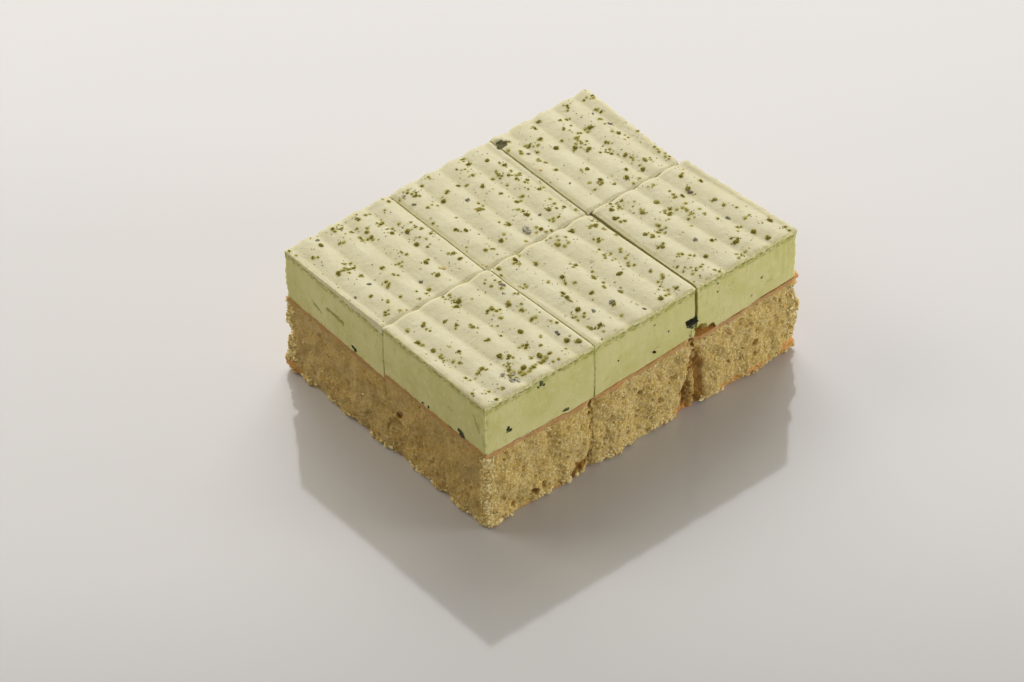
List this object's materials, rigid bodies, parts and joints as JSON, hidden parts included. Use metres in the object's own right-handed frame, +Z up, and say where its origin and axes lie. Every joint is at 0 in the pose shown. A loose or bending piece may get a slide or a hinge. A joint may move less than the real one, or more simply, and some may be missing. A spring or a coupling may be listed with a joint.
{
  "type": "matcha mousse cake",
  "caption": "Square-cut matcha mousse cake: sponge base, pale green mousse and a combed cream top sprinkled with matcha grains; the squares stand close together.",
  "frame": {"origin": "under the middle of the cake, on the surface that it stands on", "axes": "+X along the long side, +Y from the front row of squares to the back row, +Z up"},
  "size_m": [0.116, 0.0896, 0.0461],
  "materials": {
    "sponge": "open dry crumb, browned at the top skin and at the foot",
    "mousse": "smooth knife-cut mousse with a faint moist sheen",
    "cream_coat": "soft combed cream, matte",
    "matcha_grain": "damp dark green powder grains",
    "tea_fleck": "blue-grey and black leaf specks",
    "cake_crumb": "orange-brown crumbs of the browned skin"
  },
  "bodies": {
    "root": {"sponge_front_1": "sponge", "sponge_front_2": "sponge", "sponge_front_3": "sponge", "sponge_back_1": "sponge", "sponge_back_2": "sponge", "sponge_back_3": "sponge", "mousse_front_1": "mousse", "mousse_front_2": "mousse", "mousse_front_3": "mousse", "mousse_back_1": "mousse", "mousse_back_2": "mousse", "mousse_back_3": "mousse", "cream_front_1": "cream_coat", "cream_front_2": "cream_coat", "cream_front_3": "cream_coat", "cream_back_1": "cream_coat", "cream_back_2": "cream_coat", "cream_back_3": "cream_coat"}
  },
  "joints": []
}
